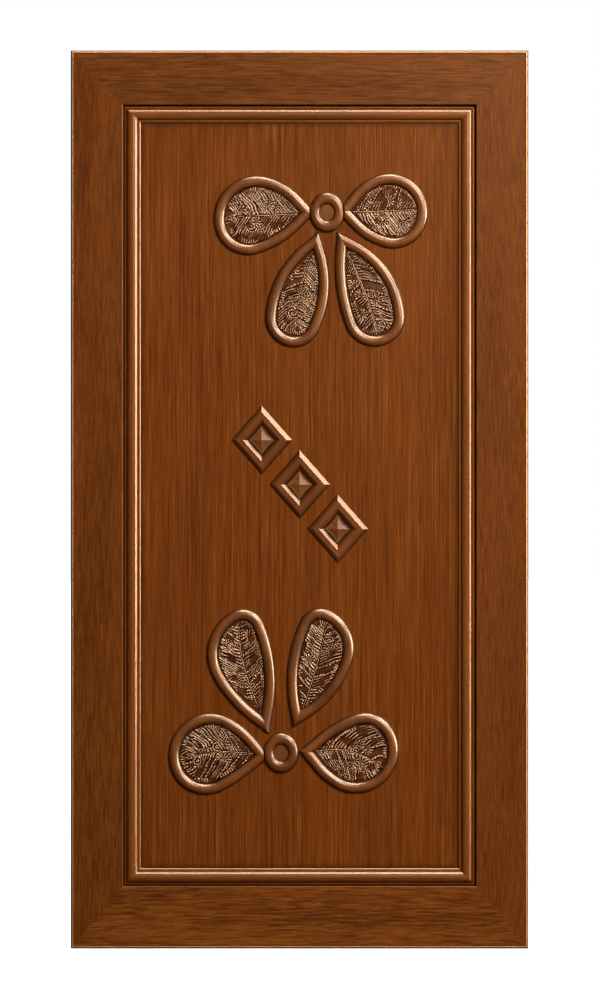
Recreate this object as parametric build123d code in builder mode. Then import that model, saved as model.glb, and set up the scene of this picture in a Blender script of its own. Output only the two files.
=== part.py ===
from build123d import *
import math
import os

# Carved door leaf in its mitred timber frame
# X runs across the opening, Y through the door (front at -Y), Z up, origin under the sill

# Door frame
frame_w = 1070.0
frame_h = 2100.0
frame_d = 55.0
jamb_w = 122.0
head_w = 127.0
sill_w = 146.0
stop_t = 14.0
stop_lap = 12.0
edge_steep_w = 2.2
edge_steep_drop = 8.0
edge_ridge_w = 2.5
edge_ridge_h = 2.3
edge_quirk_w = 0.8
stop_round = 2.0

# Loose tenons in the frame corners
tenon_l = 80.0
tenon_w = 50.0
tenon_t = 14.0
tenon_gap = 0.2

# Door leaf
leaf_gap = 3.0
seat_gap = 1.0
skin_t = 4.0
stile_w = 70.0
rail_top_w = 90.0
rail_bottom_w = 140.0

# Planted moulding round the leaf
mould_gap = 2.5
fillet_out = 5.0
fillet_in = 6.0
fillet_h = 5.0
bead_w = 28.5
crest_h = 16.0
quirk = 1.2

# Carved flowers
ring_w = 26.3
ring_h = 12.0
carving_gap = 0.3
boss_r = 41.3
boss_hole_r = 16.0
boss_h = 13.0
boss_floor = 3.5
boss_stretch = 1.147
top_boss_x = 64.2
top_boss_drop = 251.2
bottom_boss_x = -43.0
bottom_boss_rise = 311.6

# Carved leaf inside each petal ring
panel_t = 2.0
midrib_w = 6.5
midrib_h = 5.0
vein_w = 9.0
vein_h = 3.6
vein_r = 62.0
vein_lean = 48.0
vein_turn = 62.0
vein_pitch = 19.0

# Diamond ornaments in the middle
diamond_half_w = 71.5
diamond_half_h = 81.0
diamond_step_x = 89.0
diamond_step_z = 104.0
diamond_rise = 25.5
diamond_bevel = 9.8
diamond_flat = 11.0
diamond_h = 9.0
rosette_base = 1.5
rosette_h = 8.0
rosette_pinch = 0.14

# Butt hinges
hinge_h = 100.0
hinge_plate_w = 30.0
hinge_plate_t = 3.0
hinge_top_drop = 200.0
hinge_bottom_rise = 250.0
barrel_r = 6.0
barrel_out = 6.5
knuckle_count = 5
knuckle_gap = 0.4
pin_r = 3.0
pin_fit = 0.05
pin_head_r = 5.0
pin_head_h = 2.5
screw_r = 2.0
screw_head_r = 4.0
screw_head_h = 2.2
screw_l = 32.0
screw_edge = 14.0
screw_fit = 0.15
screw_point = 5.0

# Frame fixing holes through the rebates of the jambs
fixing_d = 10.0
fixing_edge = 220.0
fixing_pitch = 480.0

# Planes and openings that follow from the sizes
y_front = -frame_d / 2
y_back = frame_d / 2
y_stop = y_front + stop_t
y_face = y_stop + seat_gap
sight_x = frame_w / 2 - jamb_w
sight_bottom = sill_w
sight_top = frame_h - head_w
rebate_x = sight_x + stop_lap
rebate_bottom = sight_bottom - stop_lap * sill_w / jamb_w
rebate_top = sight_top + stop_lap * head_w / jamb_w
leaf_x = rebate_x - leaf_gap
leaf_bottom = rebate_bottom + leaf_gap
leaf_top = rebate_top - leaf_gap
leaf_mid = (leaf_bottom + leaf_top) / 2
core_front = y_face + skin_t
core_back = y_back - skin_t
fixing_y = (y_stop + y_back) / 2
fixing_heights = [fixing_edge, fixing_edge + fixing_pitch,
                  frame_h - fixing_edge - fixing_pitch, frame_h - fixing_edge]
hinge_heights = [leaf_bottom + hinge_bottom_rise, leaf_mid, leaf_top - hinge_top_drop]
tip_run = 2 * ring_w
pin_x = -(rebate_x + leaf_x) / 2
pin_y = y_back + barrel_out
plate_y = y_back - hinge_plate_w / 2
screw_y = plate_y
screw_pitch = (hinge_h - 2 * screw_edge) / 3

# Sheets parallel to the front of the door
back_plane = Plane.XZ.offset(-y_back)
face_plane = Plane.XZ.offset(-y_face)
parts = []


def keep(builder, label):
    builder.part.label = label
    parts.append(builder.part)


def hinge_screw_points():
    points = []
    for height in hinge_heights:
        for i in range(4):
            points.append((screw_y, height - hinge_h / 2 + screw_edge + i * screw_pitch))
    return points


# Corner geometry of the mitred frame
outer = {"bl": (-frame_w / 2, 0), "br": (frame_w / 2, 0),
         "tr": (frame_w / 2, frame_h), "tl": (-frame_w / 2, frame_h)}
inner = {"bl": (-sight_x, sight_bottom), "br": (sight_x, sight_bottom),
         "tr": (sight_x, sight_top), "tl": (-sight_x, sight_top)}


def tenon_plane(corner):
    a = Vector(*outer[corner])
    b = Vector(*inner[corner])
    run = (b - a).normalized()
    middle = a + (b - a) * 0.45
    origin = (middle.X, fixing_y, middle.Y)
    return Plane(origin=origin, x_dir=(run.X, 0, run.Y), z_dir=(0, -1, 0))


# Waste cut away to leave a small quirked arris along the outer front edge of a member
def edge_waste(first, second):
    a = Vector(outer[first][0], y_front, outer[first][1])
    b = Vector(outer[second][0], y_front, outer[second][1])
    run = (b - a).normalized()
    across = Vector(inner[first][0] - a.X, 0, inner[first][1] - a.Z)
    inward = (across - run * across.dot(run)).normalized()
    plane = Plane(origin=a - run * stop_t, x_dir=inward, z_dir=run)
    rise = 1 if plane.y_dir.Y < 0 else -1
    ridge = edge_steep_w + edge_ridge_w
    quirk_at = ridge + edge_ridge_w
    with BuildSketch(plane) as waste:
        with BuildLine():
            Polyline((0, -rise * edge_steep_drop), (edge_steep_w, -rise * edge_ridge_h),
                     (ridge, 0), (quirk_at, -rise * edge_ridge_h), (quirk_at + edge_quirk_w, 0),
                     (quirk_at + edge_quirk_w, rise * stop_t), (-stop_t, rise * stop_t),
                     (-stop_t, -rise * edge_steep_drop), close=True)
        make_face()
    return waste.sketch, (b - a).length + 2 * stop_t


def frame_member(first, second, label):
    with BuildPart() as member:
        with BuildSketch(back_plane):
            with BuildLine():
                Polyline(outer[first], outer[second], inner[second], inner[first], close=True)
            make_face()
        extrude(amount=frame_d)
        waste, waste_run = edge_waste(first, second)
        extrude(waste, amount=waste_run, mode=Mode.SUBTRACT)
        with BuildSketch(back_plane):
            with Locations((0, (rebate_bottom + rebate_top) / 2)):
                Rectangle(2 * rebate_x, rebate_top - rebate_bottom)
        extrude(amount=frame_d - stop_t, mode=Mode.SUBTRACT)
        front_edges = member.edges().filter_by(lambda e: abs(e.center().Y - y_front) < 0.01)
        length_edges = front_edges.filter_by(Axis.X) + front_edges.filter_by(Axis.Z)
        stop_edge = [e for e in length_edges
                     if abs(abs(e.center().X) - sight_x) < 0.01 and e.length > frame_w
                     or abs(e.center().Z - sight_bottom) < 0.01
                     or abs(e.center().Z - sight_top) < 0.01]
        fillet(stop_edge, radius=stop_round)
        for corner in (first, second):
            with BuildSketch(tenon_plane(corner).offset(-tenon_t / 2 - tenon_gap)):
                Rectangle(tenon_w + 2 * tenon_gap, tenon_l + 2 * tenon_gap)
            extrude(amount=tenon_t + 2 * tenon_gap, mode=Mode.SUBTRACT)
        if label.startswith("jamb"):
            side = -1 if label == "jamb_left" else 1
            with BuildSketch(Plane.YZ.offset(side * frame_w / 2)):
                with Locations(*[(fixing_y, z) for z in fixing_heights]):
                    Circle(fixing_d / 2)
            extrude(amount=-side * jamb_w, mode=Mode.SUBTRACT)
        if label == "jamb_left":
            with BuildSketch(Plane.YZ.offset(-rebate_x)):
                with Locations(*[(plate_y, z) for z in hinge_heights]):
                    Rectangle(hinge_plate_w, hinge_h)
            extrude(amount=-hinge_plate_t, mode=Mode.SUBTRACT)
            with BuildSketch(Plane.YZ.offset(-rebate_x)):
                with Locations(*hinge_screw_points()):
                    Circle(screw_r + screw_fit)
            extrude(amount=-screw_l - 1, mode=Mode.SUBTRACT)
    keep(member, label)


frame_member("bl", "tl", "jamb_left")
frame_member("br", "tr", "jamb_right")
frame_member("tl", "tr", "head")
frame_member("bl", "br", "sill")

# Loose tenons across the mitres
for corner, label in (("bl", "tenon_bottom_left"), ("br", "tenon_bottom_right"),
                      ("tl", "tenon_top_left"), ("tr", "tenon_top_right")):
    with BuildPart() as tenon:
        with BuildSketch(tenon_plane(corner).offset(-tenon_t / 2)):
            Rectangle(tenon_w, tenon_l)
        extrude(amount=tenon_t)
        chamfer(tenon.edges().filter_by(Axis.Y), length=tenon_t / 5)
    keep(tenon, label)


# Leaf framing behind the skins
def leaf_block(label, x0, x1, z0, z1, front, back):
    with BuildPart() as block:
        with BuildSketch(Plane.XZ.offset(-back)):
            with Locations(((x0 + x1) / 2, (z0 + z1) / 2)):
                Rectangle(x1 - x0, z1 - z0)
        extrude(amount=back - front)
        if label in ("leaf_stile_hinge", "leaf_back_skin"):
            with BuildSketch(Plane.YZ.offset(-leaf_x)):
                with Locations(*[(plate_y, z) for z in hinge_heights]):
                    Rectangle(hinge_plate_w, hinge_h)
            extrude(amount=hinge_plate_t, mode=Mode.SUBTRACT)
        if label == "leaf_stile_hinge":
            with BuildSketch(Plane.YZ.offset(-leaf_x)):
                with Locations(*hinge_screw_points()):
                    Circle(screw_r + screw_fit)
            extrude(amount=screw_l + 1, mode=Mode.SUBTRACT)
    keep(block, label)


core_x = leaf_x - stile_w
core_bottom = leaf_bottom + rail_bottom_w
core_top = leaf_top - rail_top_w
leaf_block("leaf_stile_hinge", -leaf_x, -core_x, leaf_bottom, leaf_top, core_front, core_back)
leaf_block("leaf_stile_lock", core_x, leaf_x, leaf_bottom, leaf_top, core_front, core_back)
leaf_block("leaf_rail_top", -core_x, core_x, core_top, leaf_top, core_front, core_back)
leaf_block("leaf_rail_bottom", -core_x, core_x, leaf_bottom, core_bottom, core_front, core_back)
leaf_block("leaf_core", -core_x, core_x, core_bottom, core_top, core_front, core_back)
leaf_block("leaf_front_skin", -leaf_x, leaf_x, leaf_bottom, leaf_top, y_face, core_front)
leaf_block("leaf_back_skin", -leaf_x, leaf_x, leaf_bottom, leaf_top, core_back, y_back)

# Bead moulding, four mitred lengths planted on the face
mould_w = fillet_out + bead_w + fillet_in
mould_x = sight_x - mould_gap
mould_bottom = sight_bottom + mould_gap
mould_top = sight_top - mould_gap


def moulding(label, start, run, length, inward):
    section_plane = Plane(origin=(start[0], y_face, start[1]), x_dir=inward, z_dir=run)
    rise = 1 if section_plane.y_dir.Y < 0 else -1
    with BuildPart() as strip:
        with BuildSketch(section_plane):
            with BuildLine():
                bead_0 = fillet_out + quirk
                bead_1 = fillet_out + bead_w - quirk
                spring = fillet_h - 2 * quirk
                turn = fillet_h * math.sqrt(0.5)
                inner_top = mould_w - fillet_h
                Polyline((bead_0, rise * spring), (fillet_out, rise * spring),
                         (fillet_out, rise * fillet_h))
                ThreePointArc((fillet_out, rise * fillet_h),
                              (fillet_h - turn, rise * turn), (0, 0))
                Line((0, 0), (mould_w, 0))
                ThreePointArc((mould_w, 0), (inner_top + turn, rise * turn),
                              (inner_top, rise * fillet_h))
                Polyline((inner_top, rise * fillet_h),
                         (fillet_out + bead_w, rise * fillet_h),
                         (fillet_out + bead_w, rise * spring), (bead_1, rise * spring))
                ThreePointArc((bead_1, rise * spring),
                              ((bead_0 + bead_1) / 2, rise * crest_h),
                              (bead_0, rise * spring))
            make_face()
        extrude(amount=length)
        for end, sign in ((0, 1), (length, -1)):
            corner = Vector(start[0], y_face, start[1]) + Vector(*run) * end
            cut_dir = Vector(*run) * sign - Vector(*inward)
            split(bisect_by=Plane(origin=corner, z_dir=cut_dir), keep=Keep.TOP)
    keep(strip, label)


mould_h = mould_top - mould_bottom
moulding("moulding_left", (-mould_x, mould_bottom), (0, 0, 1), mould_h, (1, 0, 0))
moulding("moulding_right", (mould_x, mould_bottom), (0, 0, 1), mould_h, (-1, 0, 0))
moulding("moulding_bottom", (-mould_x, mould_bottom), (1, 0, 0), 2 * mould_x, (0, 0, 1))
moulding("moulding_top", (-mould_x, mould_top), (1, 0, 0), 2 * mould_x, (0, 0, -1))


# Petal outline: a straight run each side of the tip, two side arcs, two end arcs
def side_centre(tip, end_centre, end_r, side_r, hand):
    axis = end_centre - tip
    d = axis.length
    reach = math.hypot(side_r, tip_run)
    along = (reach ** 2 - (side_r - end_r) ** 2 + d ** 2) / (2 * d)
    across = math.sqrt(reach ** 2 - along ** 2)
    unit = axis / d
    return tip + unit * along + Vector(-unit.Y, unit.X) * (across * hand)


def run_direction(tip, centre, side_r, hand):
    turn = -hand * math.atan2(side_r, tip_run)
    unit = (centre - tip).normalized()
    return Vector(unit.X * math.cos(turn) - unit.Y * math.sin(turn),
                  unit.X * math.sin(turn) + unit.Y * math.cos(turn))


class Petal:
    # Tip and far end from the flower's centre, bearing of the far end, (end, side) radii
    def __init__(self, boss, tip, end, bearing, left, right):
        self.boss = boss
        self.tip = boss + Vector(*tip)
        self.end = boss + Vector(*end)
        self.out = Vector(math.cos(math.radians(bearing)), math.sin(math.radians(bearing)))
        self.sides = []
        for (end_r, side_r), hand in ((left, -1), (right, 1)):
            end_c = self.end - self.out * end_r
            side_c = side_centre(self.tip, end_c, end_r, side_r, hand)
            run = run_direction(self.tip, side_c, side_r, hand)
            self.sides.append((end_c, end_r, side_c, side_r, run))
        run_l = self.sides[0][4]
        run_r = self.sides[1][4]
        self.axis = (run_l + run_r).normalized()
        self.half_angle = math.acos(self.axis.dot(run_l))

    def tip_at(self, inset):
        return self.tip + self.axis * (inset / math.sin(self.half_angle))

    def side_points(self, side, inset):
        end_c, end_r, side_c, side_r, run = self.sides[side]
        far = self.end - self.out * inset
        join = side_c + (end_c - side_c).normalized() * (side_r - inset)
        touch = self.tip + run * tip_run
        start = side_c + (touch - side_c).normalized() * (side_r - inset)
        return far, join, start, self.tip_at(inset)


def arc_through(centre, a, b):
    half = ((a - centre).normalized() + (b - centre).normalized()).normalized()
    m = centre + half * (a - centre).length
    ThreePointArc((a.X, a.Y), (m.X, m.Y), (b.X, b.Y))


def draw_outline(petal, inset):
    for side in (0, 1):
        far, join, start, tip = petal.side_points(side, inset)
        arc_through(petal.sides[side][0], far, join)
        arc_through(petal.sides[side][2], join, start)
        Line((start.X, start.Y), (tip.X, tip.Y))


def upright_plane(point, across, y):
    return Plane(origin=(point.X, y, point.Y), x_dir=(across.X, 0, across.Y),
                 z_dir=(across.Y, 0, -across.X))


def bead_section(point, across):
    with BuildSketch(upright_plane(point, across, y_face)) as section:
        with BuildLine():
            ThreePointArc((-ring_w / 2, 0), (0, ring_h), (ring_w / 2, 0))
            Line((ring_w / 2, 0), (-ring_w / 2, 0))
        make_face()
    return section.sketch


def bead_arc(centre, a, b):
    ra = a - centre
    rb = b - centre
    turn = math.atan2(ra.X * rb.Y - ra.Y * rb.X, ra.dot(rb))
    revolve(profiles=bead_section(a, ra.normalized()),
            axis=Axis((centre.X, y_face, centre.Y), (0, -math.copysign(1, turn), 0)),
            revolution_arc=math.degrees(abs(turn)))


def bead_run(petal, side):
    start = petal.side_points(side, ring_w / 2)[2]
    across = (start - petal.sides[side][2]).normalized()
    hand = -1 if side == 0 else 1
    normal = Vector(-petal.axis.Y, petal.axis.X) * -hand
    with BuildPart() as run:
        extrude(bead_section(start, across), amount=(tip_run + 2 * ring_w) * hand)
        split(bisect_by=Plane(origin=(petal.tip.X, y_face, petal.tip.Y),
                              z_dir=(normal.X, 0, normal.Y)), keep=Keep.TOP)
    return run.part


def petal_ring(petal, label):
    with BuildPart() as ring:
        for side in (0, 1):
            far, join, start, tip = petal.side_points(side, ring_w / 2)
            bead_arc(petal.sides[side][0], far, join)
            bead_arc(petal.sides[side][2], join, start)
            add(bead_run(petal, side))
        with BuildSketch(face_plane):
            with Locations((petal.boss.X, petal.boss.Y)):
                Ellipse(boss_r + carving_gap, boss_r * boss_stretch + carving_gap)
        extrude(amount=ring_h + 1, mode=Mode.SUBTRACT)
    keep(ring, label)


def petal_panel(petal, label):
    inset = ring_w + carving_gap
    tip = petal.tip_at(inset)
    far = petal.end - petal.out * inset
    axis = (far - tip).normalized()
    normal = Vector(-axis.Y, axis.X)
    length = (far - tip).length
    y_top = y_face - panel_t
    lean = math.radians(vein_lean)
    with BuildPart() as panel:
        with BuildSketch(face_plane):
            with BuildLine():
                draw_outline(petal, inset)
            make_face()
        extrude(amount=panel_t)
        with BuildSketch(upright_plane(tip, normal, y_top)):
            with BuildLine():
                Polyline((-midrib_w / 2, 0), (midrib_w / 2, 0), (0, midrib_h), close=True)
            make_face()
        extrude(amount=length)
        for i in range(int((length - vein_pitch) // vein_pitch)):
            root = tip + axis * (vein_pitch * (i + 0.5))
            for hand in (-1, 1):
                spoke = normal * (hand * math.cos(lean)) - axis * math.sin(lean)
                centre = root + spoke * vein_r
                with BuildSketch(upright_plane(root, spoke * -1, y_top)):
                    with BuildLine():
                        Polyline((-vein_w / 2, 0), (vein_w / 2, 0), (0, vein_h), close=True)
                    make_face()
                revolve(axis=Axis((centre.X, y_top, centre.Y), (0, -hand, 0)),
                        revolution_arc=vein_turn)
        with BuildSketch(face_plane):
            with BuildLine():
                draw_outline(petal, inset)
            make_face()
        extrude(amount=panel_t + midrib_h + vein_h, mode=Mode.INTERSECT)
    keep(panel, label)


# Turned boss, drawn out taller than wide
def boss_button(boss, label):
    with BuildPart() as button:
        with BuildSketch(Plane.XZ):
            with BuildLine():
                middle = (boss_r + boss_hole_r) / 2
                ThreePointArc((boss_hole_r, 0), (middle, boss_h), (boss_r, 0))
                Line((boss_r, 0), (boss_hole_r, 0))
            make_face()
            with Locations((middle / 2, boss_floor / 2)):
                Rectangle(middle, boss_floor)
        revolve(axis=Axis.Z)
        scale(by=(1, boss_stretch, 1))
    placed = Plane(origin=(boss.X, y_face, boss.Y), x_dir=(1, 0, 0), z_dir=(0, -1, 0))
    button.part.label = label
    parts.append(placed.location * button.part)
    parts[-1].label = label


top_boss = Vector(top_boss_x, sight_top - top_boss_drop)
bottom_boss = Vector(bottom_boss_x, sight_bottom + bottom_boss_rise)
boss_button(top_boss, "boss_top")
boss_button(bottom_boss, "boss_bottom")

petals = {
    "top_left": Petal(top_boss, (-27, -1), (-261, -43), -163, (81, 228), (100, 157)),
    "top_right": Petal(top_boss, (22, 1), (222, -49), -33, (91, 137), (79, 166)),
    "top_lower_left": Petal(top_boss, (-19, -43), (-93, -314), -105, (62, 255), (70, 235)),
    "top_lower_right": Petal(top_boss, (23, -43), (134, -311), -73, (68, 211), (74, 403)),
    "bottom_upper_left": Petal(bottom_boss, (-29, 43), (-116, 330), 119, (113, 324), (53, 362)),
    "bottom_upper_right": Petal(bottom_boss, (27, 57), (115, 333), 64, (53, 335), (100, 234)),
    "bottom_left": Petal(bottom_boss, (-26, -9), (-257, -43), -158, (88, 426), (99, 196)),
    "bottom_right": Petal(bottom_boss, (41, 4), (258, 61), 34, (75, 254), (100, 185)),
}
for name, petal in petals.items():
    petal_ring(petal, "petal_ring_" + name)
    petal_panel(petal, "petal_panel_" + name)

# Diamond frames with bevelled sides, one carved rosette in each
inradius = diamond_half_w * diamond_half_h / math.hypot(diamond_half_w, diamond_half_h)
diamond_ring = 2 * diamond_bevel + diamond_flat


def rhombus(centre, inset):
    k = 1 - inset / inradius
    with Locations((centre.X, centre.Y)):
        Polygon((diamond_half_w * k, 0), (0, diamond_half_h * k),
                (-diamond_half_w * k, 0), (0, -diamond_half_h * k))


def diamond_frame(centre, label):
    with BuildPart() as frame:
        with BuildSketch(face_plane):
            rhombus(centre, 0)
        with BuildSketch(face_plane.offset(diamond_h)):
            rhombus(centre, diamond_bevel)
        loft(ruled=True)
        with BuildSketch(face_plane):
            rhombus(centre, diamond_ring)
        with BuildSketch(face_plane.offset(diamond_h)):
            rhombus(centre, diamond_bevel + diamond_flat)
        loft(ruled=True, mode=Mode.SUBTRACT)
    keep(frame, label)


def diamond_rosette(centre, label):
    k = 1 - (diamond_ring + carving_gap) / inradius
    a = diamond_half_w * k
    b = diamond_half_h * k
    n = (1 - rosette_pinch) / 2
    star_points = [(a, 0), (a * n, b * n), (0, b), (-a * n, b * n),
                   (-a, 0), (-a * n, -b * n), (0, -b), (a * n, -b * n)]
    apex = Vertex(centre.X, y_face - rosette_base - rosette_h, centre.Y)
    with BuildPart() as rosette:
        with BuildSketch(face_plane.offset(rosette_base)) as star:
            with BuildLine():
                Polyline(*[(centre.X + x, centre.Y + y) for x, y in star_points], close=True)
            make_face()
        loft(sections=[star.sketch.faces()[0], apex], ruled=True)
        with BuildSketch(face_plane):
            rhombus(centre, diamond_ring + carving_gap)
        extrude(amount=rosette_base)
    keep(rosette, label)


diamond_mid = Vector(0, (sight_bottom + sight_top) / 2 + diamond_rise)
for i, place in ((-1, "upper"), (0, "middle"), (1, "lower")):
    diamond_centre = diamond_mid + Vector(i * diamond_step_x, -i * diamond_step_z)
    diamond_frame(diamond_centre, "diamond_frame_" + place)
    diamond_rosette(diamond_centre, "diamond_rosette_" + place)

# Butt hinges: frame plate, leaf plate and pin, knuckles alternating along the pin
knuckle_h = (hinge_h - (knuckle_count - 1) * knuckle_gap) / knuckle_count


def hinge_plate(height, surface_x, into, first, label):
    bottom = height - hinge_h / 2
    with BuildPart() as plate:
        with BuildSketch(Plane.YZ.offset(surface_x)):
            with Locations((plate_y, height)):
                Rectangle(hinge_plate_w, hinge_h)
        extrude(amount=into * hinge_plate_t)
        for i in range(first, knuckle_count, 2):
            with BuildSketch(Plane.XY.offset(bottom + i * (knuckle_h + knuckle_gap))):
                with Locations((pin_x, pin_y)):
                    Circle(barrel_r)
                with Locations((surface_x + into * hinge_plate_t / 2, (y_back + pin_y) / 2)):
                    Rectangle(hinge_plate_t, pin_y - y_back)
            extrude(amount=knuckle_h)
        with BuildSketch(Plane.XY.offset(bottom)):
            with Locations((pin_x, pin_y)):
                Circle(pin_r + pin_fit)
        extrude(amount=hinge_h, mode=Mode.SUBTRACT)
        for i in range(4):
            z = bottom + screw_edge + i * screw_pitch
            with BuildSketch(Plane.XY.offset(z)):
                with BuildLine():
                    Polyline((surface_x, screw_y),
                             (surface_x, screw_y + screw_head_r + screw_fit),
                             (surface_x + into * screw_head_h, screw_y + screw_r + screw_fit),
                             (surface_x + into * hinge_plate_t, screw_y + screw_r + screw_fit),
                             (surface_x + into * hinge_plate_t, screw_y), close=True)
                make_face()
            revolve(axis=Axis((surface_x, screw_y, z), (1, 0, 0)), mode=Mode.SUBTRACT)
    keep(plate, label)


def hinge_pin(height, label):
    with BuildPart() as pin:
        with BuildSketch(Plane.XY.offset(height - hinge_h / 2)):
            with Locations((pin_x, pin_y)):
                Circle(pin_r)
        extrude(amount=hinge_h)
        with BuildSketch(Plane.XY.offset(height + hinge_h / 2)):
            with Locations((pin_x, pin_y)):
                Circle(pin_head_r)
        extrude(amount=pin_head_h)
        chamfer(pin.edges().group_by(Axis.Z)[-1], length=pin_head_h / 4)
    keep(pin, label)


def hinge_screws(surface_x, into, label):
    with BuildPart() as screws:
        for _, z in hinge_screw_points():
            with BuildSketch(Plane.XY.offset(z)):
                with BuildLine():
                    Polyline((surface_x, screw_y),
                             (surface_x, screw_y + screw_head_r),
                             (surface_x + into * screw_head_h, screw_y + screw_r),
                             (surface_x + into * (screw_l - screw_point), screw_y + screw_r),
                             (surface_x + into * screw_l, screw_y), close=True)
                make_face()
            revolve(axis=Axis((surface_x, screw_y, z), (1, 0, 0)))
    keep(screws, label)


for place, height in zip(("bottom", "middle", "top"), hinge_heights):
    hinge_plate(height, -rebate_x, -1, 0, "hinge_" + place + "_frame_plate")
    hinge_plate(height, -leaf_x, 1, 1, "hinge_" + place + "_leaf_plate")
    hinge_pin(height, "hinge_" + place + "_pin")
hinge_screws(-rebate_x, -1, "hinge_screws_frame")
hinge_screws(-leaf_x, 1, "hinge_screws_leaf")

os.makedirs("parts", exist_ok=True)
for part in parts:
    export_step(part, "parts/" + part.label + ".step")
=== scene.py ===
import math

import bmesh
import bpy
import numpy as np
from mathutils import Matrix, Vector


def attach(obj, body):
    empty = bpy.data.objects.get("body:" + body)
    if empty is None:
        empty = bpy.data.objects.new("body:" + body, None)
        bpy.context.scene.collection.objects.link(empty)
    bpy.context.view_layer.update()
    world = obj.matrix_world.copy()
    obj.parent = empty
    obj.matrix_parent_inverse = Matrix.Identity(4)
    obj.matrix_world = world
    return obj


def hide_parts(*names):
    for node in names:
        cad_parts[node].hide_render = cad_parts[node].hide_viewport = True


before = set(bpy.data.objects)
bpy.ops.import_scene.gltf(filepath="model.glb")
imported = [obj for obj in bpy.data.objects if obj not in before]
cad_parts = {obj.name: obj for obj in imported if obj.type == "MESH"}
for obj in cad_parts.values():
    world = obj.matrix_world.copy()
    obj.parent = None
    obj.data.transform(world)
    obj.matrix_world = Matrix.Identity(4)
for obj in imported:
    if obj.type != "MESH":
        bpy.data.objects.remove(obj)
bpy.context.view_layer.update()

# ---------------------------------------------------------------- Jambs of the outer frame
# The two upright members of the frame, solid hardwood with a small ridge and a quirk along
# the outer front edge, stained reddish brown under satin lacquer and mitred at their ends.
LENGTHWISE = {"Z": (0, 0, 1), "X": (1, 0, 0)}


class Val:
    """A socket of a node tree: arithmetic on it adds the Math nodes."""

    def __init__(self, finish, socket):
        self.finish, self.socket = finish, socket

    def __add__(self, other):
        return self.finish.maths("ADD", self, other)

    def __radd__(self, other):
        return self.finish.maths("ADD", other, self)

    def __sub__(self, other):
        return self.finish.maths("SUBTRACT", self, other)

    def __rsub__(self, other):
        return self.finish.maths("SUBTRACT", other, self)

    def __mul__(self, other):
        return self.finish.maths("MULTIPLY", self, other)

    def __rmul__(self, other):
        return self.finish.maths("MULTIPLY", other, self)

    def __truediv__(self, other):
        return self.finish.maths("DIVIDE", self, other)

    def __pow__(self, other):
        return self.finish.maths("POWER", self, other)

    def __abs__(self):
        return self.finish.maths("ABSOLUTE", self)


class Finish:
    """One surface finish, as a node material that is built up call by call."""

    def __init__(self, name):
        self.material = bpy.data.materials.new(name)
        self.material.use_nodes = True
        self.tree = self.material.node_tree
        self.tree.nodes.clear()

    def node(self, kind, settings=None, inputs=None, out=0):
        made = self.tree.nodes.new(kind)
        for key, value in (settings or {}).items():
            setattr(made, key, value)
        for key, value in (inputs or {}).items():
            if isinstance(value, Val):
                self.tree.links.new(value.socket, made.inputs[key])
            else:
                made.inputs[key].default_value = value
        return Val(self, made.outputs[out])

    def maths(self, operation, a, b=0.0):
        return self.node("ShaderNodeMath", {"operation": operation}, {0: a, 1: b})

    def part(self, vector, axis):
        """The X, Y or Z of a vector."""
        return self.node("ShaderNodeSeparateXYZ", None, {0: vector}, out=axis)

    def where(self):
        """The place on the object, in metres."""
        return self.node("ShaderNodeTexCoord", out="Object")

    def place(self, stretch, shift):
        return self.node("ShaderNodeMapping", {"vector_type": "POINT"},
                         {"Vector": self.where(), "Location": shift, "Scale": stretch})

    def noise(self, vector, detail=2.0, rough=0.5, distortion=0.0):
        return self.node("ShaderNodeTexNoise", {"noise_dimensions": "3D"},
                         {"Vector": vector, "Scale": 1.0, "Detail": detail,
                          "Roughness": rough, "Distortion": distortion})

    def ranged(self, value, low, high, to_low=0.0, to_high=1.0):
        return self.node("ShaderNodeMapRange", {"clamp": True},
                         {"Value": value, "From Min": low, "From Max": high,
                          "To Min": to_low, "To Max": to_high})

    def mix(self, share, a, b):
        return self.node("ShaderNodeMix", {"data_type": "RGBA", "blend_type": "MIX"},
                         {0: share, 6: a, 7: b}, out=2)

    def bump(self, height, depth, strength):
        return self.node("ShaderNodeBump", None,
                         {"Strength": strength, "Distance": depth, "Height": height})

    def end(self, kind, value):
        """Feeds the value to the tree's output node."""
        self.tree.links.new(value.socket, self.tree.nodes.new(kind).inputs[0])

    def surface(self, **sockets):
        shader = self.node("ShaderNodeBsdfPrincipled", None,
                           {key.replace("_", " "): value for key, value in sockets.items()})
        self.end("ShaderNodeOutputMaterial", shader)
        return self.material


def tone(red, green, blue):
    """A colour given as it looks on a screen, 0 to 255, as the linear colour a socket takes."""
    return tuple((c / 255 / 12.92) if c <= 10 else ((c / 255 + 0.055) / 1.055) ** 2.4
                 for c in (red, green, blue)) + (1.0,)


def stretch_along(way, across, along):
    """The noise scale for streaks of this width and length, in metres, along the grain."""
    return tuple(1 / along if on else 1 / across for on in LENGTHWISE[way])


BOARD_STREAK = (0.0032, 0.06)  # width and length
WIDTH_EDGE = ("X", 0.0, 0.535)  # axis, middle and half size
EDGE_FRONT = (-0.016, -0.0185)  # the painted highlight and painted shade at the edge fade in between these depths
# Bands of painted highlight and painted shade along the frame's outer front edge, distances in from
# the edge
PAINTED_HIGHLIGHT_BAND = ((0.0070, 0.0062), (0.0026, 0.0032))  # distances in from the edge
PAINTED_SHADE_BAND = (0.0030, 0.0024)
SIDE_DEPTH = (-0.010, -0.004)  # the matt sides and back lie behind


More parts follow.
